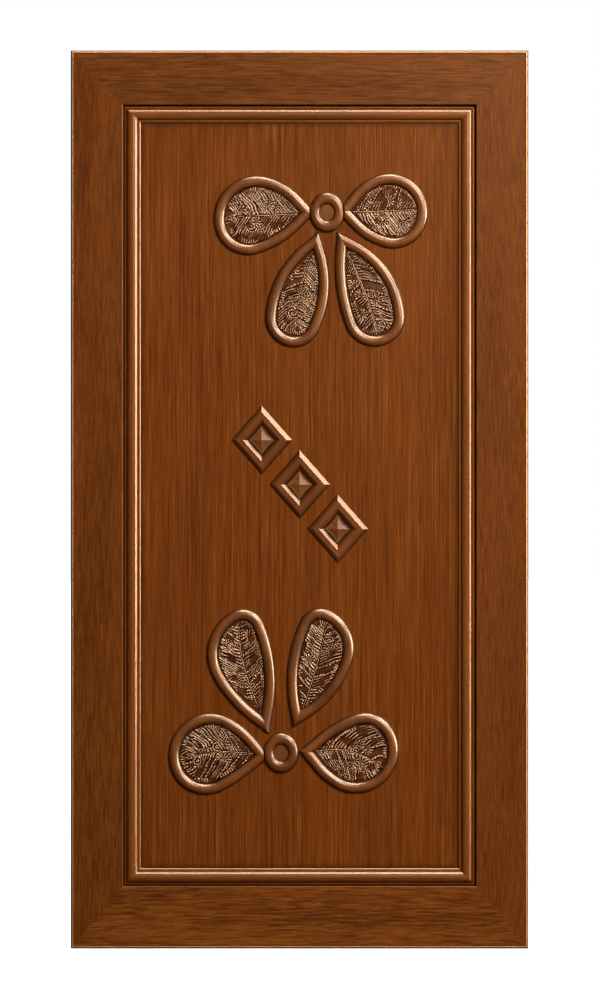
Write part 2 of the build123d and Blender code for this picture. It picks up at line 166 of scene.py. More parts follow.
def lacquered(name, way, dark, light, seed, streak=(0.006, 0.25), contrast=1.0, gloss=0.24,
              outer=None, tint=(1.0, 0.7, 0.4, 1.0), shine=0.42):
    """Stained wood under satin lacquer: streaks and fibres along the grain, open pores.

    outer gives the axis, middle and half size of the frame across the member's outer edge.
    In front, the outermost edge is painted dark as painted shade and the ridge beside it
    painted lighter as a painted highlight; the edge is also rougher, and the sides and back
    are duller."""
    wood = Finish(name)
    shift = (seed * 3.7, seed * 1.3, seed * 5.1)
    broad = wood.noise(wood.place(stretch_along(way, 0.07, 0.7), shift), detail=2)
    stripe = wood.noise(wood.place(stretch_along(way, *streak), shift), detail=3, rough=0.65,
                        distortion=0.15)
    fibre = wood.noise(wood.place(stretch_along(way, 0.0022, 0.05), shift), detail=2)
    pore = wood.noise(wood.place(stretch_along(way, 0.0014, 0.016), shift), detail=1)
    pores = wood.ranged(pore, 0.6, 0.72)
    figure = stripe * 0.55 + fibre * 0.25 + broad * 0.2
    share = wood.ranged(figure, 0.5 - 0.16 / contrast, 0.5 + 0.16 / contrast)
    colour = wood.mix(share, dark, light)
    colour = wood.mix(pores * 0.5, colour, tone(52, 20, 2))
    rough = gloss + fibre * 0.12
    if outer:
        axis, middle, half = outer
        inset = half - abs(wood.part(wood.where(), axis) - middle)
        depth = wood.part(wood.where(), "Y")
        front = wood.ranged(depth, *EDGE_FRONT)
        # Painted highlight: a lighter band on the ridge by the outer edge stands in for light on
        # its slope. Painted shade: the outermost edge is painted dark where its steep face is in
        # shade, and it is also made rougher.
        painted_highlight_in, painted_highlight_out = PAINTED_HIGHLIGHT_BAND
        painted_highlight = wood.ranged(inset, *painted_highlight_in) * wood.ranged(inset, *painted_highlight_out) * front
        painted_edge_shade = wood.ranged(inset, *PAINTED_SHADE_BAND) * front
        colour = wood.mix(painted_highlight * 0.8, colour, tone(176, 112, 62))
        colour = wood.mix(painted_edge_shade, colour, tone(46, 18, 4))
        rough = rough + painted_edge_shade * 0.45 + wood.ranged(depth, *SIDE_DEPTH) * 0.6
    relief = fibre * 0.4 - pores * 0.6
    return wood.surface(Base_Color=colour, Roughness=rough,
                        Specular_IOR_Level=shine, Specular_Tint=tint,
                        Normal=wood.bump(relief, 0.00012, 0.3))


def finish_nodes(material, *names):
    """Gives the CAD nodes of these names the finish."""
    for name in names:
        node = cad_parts[name]
        node.data.materials.clear()
        node.data.materials.append(material)


finish_nodes(lacquered("jamb_left_lacquer", "Z", tone(86, 36, 2), tone(126, 64, 16), 1,
                       streak=BOARD_STREAK, contrast=1.5, outer=WIDTH_EDGE), "jamb_left")
finish_nodes(lacquered("jamb_right_lacquer", "Z", tone(86, 37, 2), tone(128, 64, 18), 2,
                       streak=BOARD_STREAK, contrast=1.6, outer=WIDTH_EDGE), "jamb_right")

# ---------------------------------------------------------------- Head and sill
# The two level members, from the same boards as the jambs and mitred to them, so the grain
# turns through a right angle at each corner. The tenons in the mitres are bare wood.
HEIGHT_EDGE = ("Z", 1.05, 1.05)  # axis, middle and half size
finish_nodes(lacquered("head_lacquer", "X", tone(84, 37, 4), tone(126, 66, 22), 3,
                       streak=BOARD_STREAK, contrast=1.7, outer=HEIGHT_EDGE), "head")
finish_nodes(lacquered("sill_lacquer", "X", tone(86, 37, 3), tone(144, 76, 22), 4,
                       streak=BOARD_STREAK, contrast=1.8, outer=HEIGHT_EDGE), "sill")


def bare(name, way, dark, light, seed, across=0.008, along=0.3):
    """Sawn wood with no finish on it: pale, dull and open-grained."""
    wood = Finish(name)
    shift = (seed * 2.3, seed * 4.1, seed * 1.9)
    ring = wood.noise(wood.place(stretch_along(way, across, along), shift), detail=3)
    fibre = wood.noise(wood.place(stretch_along(way, 0.0015, 0.03), shift), detail=2)
    colour = wood.mix(wood.ranged(ring * 0.7 + fibre * 0.3, 0.36, 0.64), dark, light)
    return wood.surface(Base_Color=colour, Roughness=0.62 + fibre * 0.2,
                        Specular_IOR_Level=0.3, Normal=wood.bump(fibre, 0.0004, 0.4))


finish_nodes(bare("tenon_wood", "X", tone(150, 108, 66), tone(186, 146, 98), 5),
             "tenon_bottom_left", "tenon_bottom_right", "tenon_top_left", "tenon_top_right")

# ---------------------------------------------------------------- Leaf: boards and skins
# The leaf is a flush slab. A frame of stiles and rails with a core board between them is
# lipped on its edges and faced on both sides with a veneered skin whose grain runs upwards.
edge_lacquer = lacquered("leaf_edge_lacquer", "Z", tone(84, 40, 9), tone(112, 60, 22), 6)
finish_nodes(edge_lacquer, "leaf_stile_hinge", "leaf_stile_lock")
finish_nodes(lacquered("leaf_rail_lacquer", "X", tone(84, 40, 9), tone(112, 60, 22), 7),
             "leaf_rail_top", "leaf_rail_bottom")
finish_nodes(bare("core_board", "Z", tone(168, 132, 88), tone(202, 168, 122), 8, 0.03, 0.6),
             "leaf_core")

PANEL_HALF_WIDTH = 0.371  # to the moulding's inner edge
PANEL_HALF_HEIGHT = 0.8715
PANEL_MIDDLE = 1.0595
PAINTED_SHADE_REACH = 0.016


def veneer(name, seed, painted_shade):
    """Streaky quarter-cut veneer: fine dark lines that run on and off up the leaf.

    painted_shade is the share of dark painted shade in the angle between the panel and its
    moulding."""
    wood = Finish(name)
    shift = (seed * 3.1, seed * 1.7, seed * 2.9)
    broad = wood.noise(wood.place(stretch_along("Z", 0.09, 1.4), shift), detail=2)
    band = wood.noise(wood.place(stretch_along("Z", 0.010, 0.9), shift), detail=2,
                      distortion=0.2)
    line = wood.noise(wood.place(stretch_along("Z", 0.0033, 0.36), shift), detail=2.5,
                      rough=0.6, distortion=0.15)
    fibre = wood.noise(wood.place(stretch_along("Z", 0.0024, 0.06), shift), detail=2)
    share = wood.ranged(line * 0.52 + band * 0.1 + broad * 0.12 + fibre * 0.26, 0.37, 0.62)
    colour = wood.mix(share, tone(86, 34, 0), tone(136, 67, 14))
    fleck = wood.ranged(line * 0.6 + fibre * 0.4, 0.575, 0.66)
    colour = wood.mix(fleck * 0.4, colour, tone(156, 90, 34))
    # Painted shade: the panel darkens towards its moulding, where the moulding shades it.
    aside = PANEL_HALF_WIDTH - abs(wood.part(wood.where(), "X"))
    up = PANEL_HALF_HEIGHT - abs(wood.part(wood.where(), "Z") - PANEL_MIDDLE)
    angle = wood.ranged(wood.maths("MINIMUM", aside, up), PAINTED_SHADE_REACH, 0.0) ** 1.6
    colour = wood.mix(angle * painted_shade, colour, tone(30, 10, 0))
    return wood.surface(Base_Color=colour, Roughness=0.24 + fibre * 0.1,
                        Specular_IOR_Level=0.5, Specular_Tint=(1.0, 0.7, 0.4, 1.0),
                        Normal=wood.bump(line * 0.5 + fibre * 0.5, 0.00012, 0.3))


# The front skin gets painted shade in the angle by its moulding; the back skin gets none.
finish_nodes(veneer("front_veneer", 11, 0.7), "leaf_front_skin")
finish_nodes(veneer("back_veneer", 12, 0.0), "leaf_back_skin")

# ---------------------------------------------------------------- Bolection moulding round the leaf
# Four mitred lengths, planted on the face just inside the sight edge: a small fillet and
# quirk each side of a broad half-round bead, planed, stained and lacquered to a high gloss.
upright_bead = lacquered("moulding_upright_lacquer", "Z", tone(104, 50, 8), tone(150, 82, 24),
                         13, streak=(0.004, 0.3), gloss=0.19, tint=(1.0, 0.8, 0.62, 1.0),
                         shine=0.6)
level_bead = lacquered("moulding_level_lacquer", "X", tone(104, 50, 8), tone(150, 82, 24),
                       14, streak=(0.004, 0.3), gloss=0.24, tint=(1.0, 0.94, 0.9, 1.0),
                       shine=0.55)
finish_nodes(upright_bead, "moulding_left", "moulding_right")
finish_nodes(level_bead, "moulding_top", "moulding_bottom")

# ---------------------------------------------------------------- Flower rings and bosses
# Each petal has a half-round ring, carved in one piece with a mitre at its tip, and each
# flower a turned boss with a dished eye. They are glued to the leaf and lacquered with it.
FACE = -12.5  # the leaf's face, mm
PETALS = ("top_left", "top_right", "top_lower_left", "top_lower_right",
          "bottom_left", "bottom_right", "bottom_upper_left", "bottom_upper_right")


def carved(name, seed, dark, light, gloss, shine, painted_shade):
    """Close-grained carving wood, stained warm and rubbed up under lacquer.

    painted_shade gives three heights above the leaf in mm: the painted shade low on the
    slopes starts at the first, is full at the second and ends at the third."""
    wood = Finish(name)
    shift = (seed * 1.1, seed * 2.7, seed * 0.7)
    cloud = wood.noise(wood.place((16, 16, 7), shift), detail=3)
    fibre = wood.noise(wood.place((330, 330, 26), shift), detail=2)
    share = wood.ranged(cloud * 0.6 + fibre * 0.4, 0.34, 0.66)
    colour = wood.mix(share, dark, light)
    # Painted shade: the lower slopes are darkened towards the leaf's face, where shade falls.
    depth = wood.part(wood.where(), "Y")
    top, full, end = ((FACE - height) / 1000 for height in painted_shade)
    painted_foot_shade = wood.ranged(depth, top, full) * wood.ranged(depth, end + 0.0001, end)
    colour = wood.mix(painted_foot_shade * 0.9, colour, tone(30, 9, 0))
    return wood.surface(Base_Color=colour, Roughness=gloss + cloud * 0.08,
                        Specular_IOR_Level=shine, Specular_Tint=(1.0, 0.82, 0.68, 1.0),
                        Normal=wood.bump(fibre, 0.0001, 0.15))


# The last three numbers place the painted shade on the lower slopes of the rings and bosses.
finish_nodes(carved("ring_lacquer", 15, tone(96, 45, 6), tone(142, 75, 18), 0.29, 0.85,
                    (10.8, 5.5, 0.0)), *["petal_ring_" + p for p in PETALS])
finish_nodes(carved("boss_lacquer", 16, tone(92, 43, 6), tone(130, 68, 18), 0.28, 0.7,
                    (11.6, 6.0, 3.6)), "boss_top", "boss_bottom")

# ---------------------------------------------------------------- Carved leaves inside the rings
# Each ring holds a thin panel carved in low relief as a feathery leaf: a raised midrib, side
# lobes that overlap like tiles, and fine comb lines along every lobe. Cut by hand, glued in.
FLOWERS = {"top": (64.2, 1721.8), "bottom": (-43.0, 457.6)}  # boss middles, mm
INSET = 26.6  # from the ring's outer edge to the leaf's, mm
TIP_RUN = 52.6  # straight run at the tip, mm
# The flower; from its boss, in mm, the tip and the far end of the ring; the bearing of the
# far end in degrees; end and side radius on the left and on the right; three points on the
# midrib, again from the boss.
LEAVES = {
    "top_left": ("top", (-27, -1), (-261, -43), -163, (81, 228), (100, 157),
                 ((-64, -5), (-141, -7), (-213, -10))),
    "top_right": ("top", (22, 1), (222, -49), -33, (91, 137), (79, 166),
                  ((48, 1), (133, 3), (205, 8))),
    "top_lower_left": ("top", (-19, -43), (-93, -314), -105, (62, 255), (70, 235),
                       ((-30, -86), (-61, -180), (-70, -261))),
    "top_lower_right": ("top", (23, -43), (134, -311), -73, (68, 211), (74, 403),
                        ((46, -92), (86, -180), (118, -275))),
    "bottom_upper_left": ("bottom", (-29, 43), (-116, 330), 119, (113, 324), (53, 362),
                          ((-49, 98), (-88, 205), (-98, 296))),
    "bottom_upper_right": ("bottom", (27, 57), (115, 333), 64, (53, 335), (100, 234),
                           ((49, 100), (82, 200), (104, 290))),
    "bottom_left": ("bottom", (-26, -9), (-257, -43), -158, (88, 426), (99, 196),
                    ((-70, -2), (-140, 2), (-201, -5))),
    "bottom_right": ("bottom", (41, 4), (258, 61), 34, (75, 254), (100, 185),
                     ((72, 1), (149, 6), (215, -22))),
}


def unit(v):
    return v / np.hypot(*v)


def arc(centre, a, b, steps):
    """Points of the shorter arc from a to b about centre, without b."""
    ra, rb = a - centre, b - centre
    turn = math.atan2(ra[0] * rb[1] - ra[1] * rb[0], ra @ rb)
    angles = math.atan2(ra[1], ra[0]) + turn * np.arange(steps) / steps
    return centre + np.hypot(*ra) * np.column_stack([np.cos(angles), np.sin(angles)])


def petal_sides(tip, end, bearing, left, right):
    """The edge of the carved panel from its tip to its far end, along the left and right."""
    out = np.array([math.cos(math.radians(bearing)), math.sin(math.radians(bearing))])
    runs, parts = [], []
    for (end_r, side_r), hand in ((left, -1), (right, 1)):
        end_c = end - out * end_r
        axis = end_c - tip
        d = np.hypot(*axis)
        reach = math.hypot(side_r, TIP_RUN)
        along = (reach ** 2 - (side_r - end_r) ** 2 + d ** 2) / (2 * d)
        across = math.sqrt(reach ** 2 - along ** 2)
        side_c = tip + axis / d * along + np.array([-axis[1], axis[0]]) / d * across * hand
        turn = -hand * math.atan2(side_r, TIP_RUN)
        u = unit(side_c - tip)
        runs.append(np.array([u[0] * math.cos(turn) - u[1] * math.sin(turn),
                              u[0] * math.sin(turn) + u[1] * math.cos(turn)]))
        parts.append((end_c, side_c, side_r))
    middle = unit(runs[0] + runs[1])
    inner_tip = tip + middle * INSET / math.sin(math.acos(middle @ runs[0]))
    far = end - out * INSET
    sides = []
    for (end_c, side_c, side_r), run in zip(parts, runs):
        join = side_c + unit(end_c - side_c) * (side_r - INSET)
        start = side_c + unit(tip + run * TIP_RUN - side_c) * (side_r - INSET)
        straight = inner_tip + (start - inner_tip) * np.linspace(0, 1, 20, endpoint=False)[:, None]
        sides.append(np.vstack([straight, arc(side_c, start, join, 90),
                                arc(end_c, join, far, 90), far]))
    return inner_tip, far, out, sides


def smooth_step(x, low, high):
    t = np.clip((x - low) / (high - low), 0, 1)
    return t * t * (3 - 2 * t)


def ridges(t):
    """Rounded ridges with hollows wider than their crests, one for each whole step of t."""
    return (0.5 + 0.5 * np.cos(2 * math.pi * t)) ** 2.6


AT_ONCE = 8000  # points compared at a time, to spare memory


def nearest_of(points, x, z):
    """The index of the point nearest to each x, z, and how far off it is."""
    found, apart = np.empty(x.shape, int), np.empty(x.shape)
    for k in range(0, x.size, AT_ONCE):
        some = slice(k, k + AT_ONCE)
        square = (x[some, None] - points[:, 0]) ** 2 + (z[some, None] - points[:, 1]) ** 2
        found[some] = square.argmin(axis=1)
        apart[some] = np.sqrt(square.min(axis=1))
    return found, apart


# All in mm, heights above the leaf's face
GROUND = 0.9
LOBE_WIDTH = (14, 30)
LOBE_MARGIN = (0.5, 7.0)  # plain ground left at the rim
LOBE_RISE = 0.9
COMB_PITCH = (5.6, 7.6)
COMB_HEIGHT = 2.1
BEAD_HEIGHT = 2.6
COMBED_BELOW = 0.86  # chances: a lobe can be combed, beaded along its edge or both
BEADED_ABOVE = 0.45
FANS = 3  # on each side of the midrib
FAN_SIZE = (10.0, 16.0)
FAN_GROUND, FAN_HEIGHT = 0.8, 2.5
CURL_CHANCE = 0.1
CURL_PITCH = 6.4
TUFT_PITCH = 6.2
TUFT_HEIGHT = 2.1
MIDRIB_HEIGHT = (4.0, 2.3)  # at the root and at the end
MIDRIB_POINTS = 81


def cut_lobes(height, side, root, off, rim, patch, length, chance):
    """Lobes that overlap along one side of the midrib, with comb lines and beaded edges."""
    at = chance.uniform(-22, -14)
    while at < length + 60:
        width = chance.uniform(*LOBE_WIDTH)
        kind = chance.random()
        margin = chance.uniform(*LOBE_MARGIN)
        phase = chance.uniform(0, 2 * math.pi)
        pitch = width / round(width / chance.uniform(*COMB_PITCH))
        w = (root - at) / width
        lobe = 1.0 + LOBE_RISE * (smooth_step(w, 0, 0.8) - smooth_step(w, 0.92, 1.0))
        if kind < COMBED_BELOW:
            comb = ridges((root - at) / pitch + 0.3 * np.sin(off / 8 + phase))
            crest = COMB_HEIGHT + 0.6 * np.sin(off / 6 + phase)
            lobe = lobe + crest * comb * patch * smooth_step(off, 1.5, 4.5)
        if kind > BEADED_ABOVE:
            edge = np.exp(-((w - 0.9) * width / 1.7) ** 2)
            lobe = lobe + BEAD_HEIGHT * edge * (0.6 + 0.4 * np.sin(off * 0.9 + phase))
        lobe = GROUND + (lobe - GROUND) * smooth_step(rim, margin - 1.5, margin + 1.0)
        on = side & (w >= 0) & (w < 1)
        height = np.where(on, np.maximum(height, lobe), height)
        at += width
    return height


def cut_fans(height, side, x, z, off, line, tangent, hand, chance):
    """Half-round sprays of ridges, and now and then a curl, laid over the lobes."""
    for _ in range(FANS):
        k = int((MIDRIB_POINTS - 1) * chance.uniform(0.3, 1.0))
        reach = chance.uniform(9, 27)
        middle = line[k] + reach * hand * np.array([tangent[k, 1], -tangent[k, 0]])
        size = chance.uniform(*FAN_SIZE)
        phase = chance.uniform(0, 2 * math.pi)
        curl = chance.random() < CURL_CHANCE
        r = np.hypot(x - middle[0], z - middle[1])
        turn = np.arctan2(z - middle[1], x - middle[0])
        if curl:
            spray = ridges(r / CURL_PITCH - hand * turn / (2 * math.pi))
        else:
            rays = round(size * 0.75)
            spray = ridges(turn * rays / (2 * math.pi) + phase) * smooth_step(r, 1, 4)
        facing = np.cos(turn - chance.uniform(0, 2 * math.pi))
        share = (1 - smooth_step(r, size - 1.2, size)) * smooth_step(off, 3, 6) * side
        share = share * smooth_step(facing, -0.35, -0.1)
        height = height * (1 - share) + (FAN_GROUND + FAN_HEIGHT * spray) * share
    return height


def feather(x, z, rim, around, midrib, chance):
    """Height of the carving at the points x, z.

    rim is how far each point is from the leaf's edge and around how far along that edge."""
    t = np.linspace(0, 1, MIDRIB_POINTS)
    a, m, b = midrib
    line = (np.outer((1 - t) * (1 - 2 * t), a) + np.outer(4 * t * (1 - t), m)
            + np.outer(t * (2 * t - 1), b))
    run = np.concatenate([[0], np.cumsum(np.hypot(*np.diff(line, axis=0).T))])
    length = run[-1]
    tangent = np.gradient(line, axis=0)
    tangent /= np.hypot(*tangent.T)[:, None]
    nearest, apart = nearest_of(line, x, z)
    dx, dz = x - line[nearest, 0], z - line[nearest, 1]
    forward = dx * tangent[nearest, 0] + dz * tangent[nearest, 1]
    aside = dx * tangent[nearest, 1] - dz * tangent[nearest, 0]
    past = nearest == MIDRIB_POINTS - 1
    swing = np.degrees(np.arctan2(forward, np.abs(aside)))
    place = run[nearest] + np.where(past, swing * 0.42, forward)
    off = np.where(past, apart, np.abs(aside))
    patch = np.sin(x / 9 + chance.uniform(0, 6)) * np.sin(z / 8 + chance.uniform(0, 6))
    patch = 0.25 + 0.75 * smooth_step(patch + 0.4 * np.sin(off / 5), -0.45, 0.15)
    height = np.full(x.shape, GROUND)
    for hand in (-1, 1):
        side = aside * hand >= 0
        root = place - 0.5 * off - 0.004 * off ** 2
        root = root + 0.8 * np.sin(off / 4.2 + 2 * hand) * smooth_step(off, 5, 14)
        height = cut_lobes(height, side, root, off, rim, patch, length, chance)
        height = cut_fans(height, side, x, z, off, line, tangent, hand, chance)
    tuft = ridges(around / TUFT_PITCH) * (np.sin(around / 11 + chance.uniform(0, 6)) > -0.2)
    tuft = tuft * smooth_step(rim, 0.6, 1.8) * (1 - smooth_step(rim, 8.0, 13.0))
    tuft = tuft * (run[nearest] > 0.25 * length)
    height = np.maximum(height, GROUND + TUFT_HEIGHT * tuft)
    height = height * (1 - 0.5 * (1 - smooth_step(off, 1.0, 3.2)))
    along = np.clip(run[nearest] / length, 0, 1)
    root_height, end_height = MIDRIB_HEIGHT
    ridge = root_height - (root_height - end_height) * along
    ridge = ridge * (1 - smooth_step(off, 0.2, 1.9 - 0.7 * along)) * (~past)
    height = np.maximum(height, ridge)
    return 0.8 + (height - 0.8) * smooth_step(rim, 0.2, 1.8)


def soften(grid, reach):
    """A grid of heights blurred over a few cells, to tell what is sunk from what stands up."""
    for axis in (0, 1):
        total = np.zeros_like(grid)
        for shift in range(-reach, reach + 1):
            total += np.roll(grid, shift, axis)
        grid = total / (2 * reach + 1)
    return grid


ROWS, END_ROWS, COLUMNS = 299, 45, 130
END_SHARE = 0.14  # the round end, where the rows draw together
SUNK_REACH = 5  # cells


def leaf_grid(tip, far, out, sides):
    """Points x, z in rows across the leaf, between its tip and its far end."""
    across = np.array([-out[1], out[0]])
    length = (far - tip) @ out
    q = np.linspace(0, 1, END_ROWS + 1)
    rows = np.concatenate([
        np.linspace(0, (1 - END_SHARE) * length, ROWS + 1, endpoint=False)[1:],
        length * (1 - END_SHARE * (1 - q) ** 2)[:-1]])
    low, high = (np.interp(rows, (side - tip) @ out, (side - tip) @ across) for side in sides)
    s = np.repeat(rows[:, None], COLUMNS, axis=1)
    v = low[:, None] + (high - low)[:, None] * np.linspace(0, 1, COLUMNS)
    s = np.concatenate([[0], s.ravel(), [length]])
    v = np.concatenate([[0], v.ravel(), [(far - tip) @ across]])
    return tip[0] + s * out[0] + v * across[0], tip[1] + s * out[1] + v * across[1]


def leaf_mesh(name, x, z, height, sunk):
    """The closed mesh of the carved top and the flat back, with sunk as an attribute."""
    top = np.column_stack([x, FACE - height, z]) / 1000
    last = len(top) - 1
    number = 1 + np.arange(last - 1).reshape(-1, COLUMNS)
    faces = np.stack([number[:-1, :-1], number[1:, :-1], number[1:, 1:], number[:-1, 1:]],
                     axis=-1).reshape(-1, 4).tolist()
    faces += [(0, a, b) for a, b in zip(number[0, :-1], number[0, 1:])]
    faces += [(last, b, a) for a, b in zip(number[-1, :-1], number[-1, 1:])]
    loop = [0, *number[:, 0], last, *number[::-1, -1]]
    back = top[loop].copy()
    back[:, 1] = FACE / 1000
    base = len(top) + np.arange(len(loop))
    for k in range(len(loop)):
        n = (k + 1) % len(loop)
        faces.append((loop[k], loop[n], base[n], base[k]))
    faces.append(tuple(base))
    mesh = bpy.data.meshes.new(name)
    mesh.from_pydata(np.vstack([top, back]).tolist(), [],
                     [tuple(int(i) for i in face) for face in faces])
    depth = mesh.attributes.new("sunk", "FLOAT", "POINT")
    depth.data.foreach_set("value", np.concatenate([sunk, np.zeros(len(back))]).astype(np.float32))
    shape = bmesh.new()
    shape.from_mesh(mesh)
    bmesh.ops.recalc_face_normals(shape, faces=shape.faces)
    shape.to_mesh(mesh)
    shape.free()
    mesh.shade_smooth()
    return mesh


def linked(name, data):
    """A new object of the scene."""
    made = bpy.data.objects.new(name, data)
    bpy.context.scene.collection.objects.link(made)
    return made


def carved_leaf(petal, seed):
    flower, tip, end, bearing, left, right, midrib = LEAVES[petal]
    centre = np.array(FLOWERS[flower])
    tip, far, out, sides = petal_sides(centre + tip, centre + end, bearing, left, right)
    x, z = leaf_grid(tip, far, out, sides)
    edge = np.vstack([sides[0], sides[1][::-1]])
    edge_run = np.concatenate([[0], np.cumsum(np.hypot(*np.diff(edge, axis=0).T))])
    nearest, rim = nearest_of(edge, x, z)
    ribs = [centre + np.array(p) for p in midrib]
    height = feather(x, z, rim, edge_run[nearest], ribs, np.random.default_rng(seed))
    grid = height[1:-1].reshape(-1, COLUMNS)
    sunk = np.concatenate([[0], (soften(grid, SUNK_REACH) - grid).ravel(), [0]])
    name = "carved_leaf_" + petal
    return linked(name, leaf_mesh(name, x, z, height, sunk))


def leaf_painted_shade_and_highlight():
    """Painted shade in the hollows of the carving and a painted highlight on its crests."""
    wood = Finish("leaf_carving_painted_shade_and_highlight")
    shift = (4.0, 2.0, 9.0)
    cloud = wood.noise(wood.place((40, 40, 40), shift), detail=3)
    fibre = wood.noise(wood.place((420, 420, 420), shift), detail=2)
    sunk = wood.node("ShaderNodeAttribute", {"attribute_name": "sunk"}, out="Fac")
    colour = wood.mix(wood.ranged(cloud, 0.35, 0.65), tone(88, 34, 3), tone(118, 52, 10))
    # Painted shade: the hollows are darkened where shade falls.
    colour = wood.mix(wood.ranged(sunk, -0.2, 0.3), colour, tone(24, 8, 0))
    # Painted highlight: the crests are painted pale peach, as if they caught the light.
    crest = wood.ranged(sunk, -0.5, -1.0) * wood.ranged(cloud, 0.3, 0.6, 0.4, 0.9)
    colour = wood.mix(crest, colour, tone(255, 190, 144))
    return wood.surface(Base_Color=colour, Roughness=0.22 + fibre * 0.1,
                        Specular_IOR_Level=0.9, Specular_Tint=(1.0, 0.7, 0.45, 1.0))


leaf_finish = leaf_painted_shade_and_highlight()
for seed, petal in enumerate(LEAVES):
    leaf = carved_leaf(petal, 40 + seed)
    leaf.data.materials.append(leaf_finish)
    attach(leaf, "leaf")
    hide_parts("petal_panel_" + petal)

# ---------------------------------------------------------------- Diamonds between the flowers
# Three lozenge frames step down across the leaf, each worked with an outer and an inner
# bevel round a flat, and each holds a small star-faced rosette cut from one block.
DIAMONDS = ("upper", "middle", "lower")
# The last three numbers place the painted shade low on the bevels and the rosettes.
diamond_finish = carved("diamond_lacquer", 17, tone(98, 46, 8), tone(130, 68, 22), 0.3, 0.46,
                        (6.0, 1.0, 0.0))
finish_nodes(diamond_finish, *["diamond_frame_" + d for d in DIAMONDS])
finish_nodes(carved("rosette_lacquer", 21, tone(104, 52, 12), tone(140, 80, 30), 0.4, 0.4,
                    (2.6, 1.4, 0.0)), *["diamond_rosette_" + d for d in DIAMONDS])

# ---------------------------------------------------------------- Butt hinges
# Three brass butt hinges out of sight between leaf and frame, each of two plates with rolled
# knuckles on a loose pin. Satin brass with faint brush marks and a little dulling.
HINGES = {"bottom": 384.64, "middle": 1058.56, "top": 1782.49}  # heights, mm


def brass(name, seed, polish):
    """Brass with faint brush marks, dulled in patches."""
    metal = Finish(name)
    shift = (seed, seed * 2.0, seed * 3.0)
    brushed = metal.noise(metal.place((900, 900, 60), shift), detail=2)
    dull = metal.noise(metal.place((60, 60, 60), shift), detail=3)
    colour = metal.mix(metal.ranged(dull, 0.4, 0.7), tone(206, 166, 92), tone(162, 120, 62))
    return metal.surface(Base_Color=colour, Metallic=1.0, Roughness=polish + dull * 0.2,
                         Normal=metal.bump(brushed, 0.0001, 0.25))


hinge_brass = brass("hinge_satin_brass", 18, 0.26)
pin_brass = brass("pin_turned_brass", 19, 0.18)
for where in HINGES:
    finish_nodes(hinge_brass, f"hinge_{where}_frame_plate", f"hinge_{where}_leaf_plate")
    finish_nodes(pin_brass, f"hinge_{where}_pin")


class Repeat(Finish):
    """A Geometry Nodes tree that puts one shape on each point of a mesh, with named sizes."""

    def __init__(self, name, sizes):
        self.tree = bpy.data.node_groups.new(name, "GeometryNodeTree")
        face = self.tree.interface
        face.new_socket("Points", in_out="INPUT", socket_type="NodeSocketGeometry")
        for key in sizes:
            kind = {"Seed": "Int", "Finish": "Material"}.get(key, "Float")
            face.new_socket(key, in_out="INPUT", socket_type="NodeSocket" + kind)
        face.new_socket("Geometry", in_out="OUTPUT", socket_type="NodeSocketGeometry")
        self.given = self.tree.nodes.new("NodeGroupInput")

    def size(self, name):
        return Val(self, self.given.outputs[name])

    def vector(self, x, y, z):
        return self.node("ShaderNodeCombineXYZ", None, {0: x, 1: y, 2: z})


SCREW = {"Head Radius": 0.004, "Head Depth": 0.0022, "Shank Radius": 0.002, "Length": 0.032,
         "Point Length": 0.005, "Thread Pitch": 0.0017, "Thread Depth": 0.0005,
         "Plain Length": 0.011, "Slot Width": 0.0010, "Slot Depth": 0.0011,
         "Turn": 0.0, "Seed": 0, "Finish": None}
SCREW_STEPS = (-36, -12, 12, 36)  # up and down from a hinge's middle, mm
SCREW_SIDES = {"frame": (-0.425, 0.5 * math.pi), "leaf": (-0.422, -0.5 * math.pi)}
SCREW_DEPTH = 0.0125
LEAST_RADIUS = 0.00006


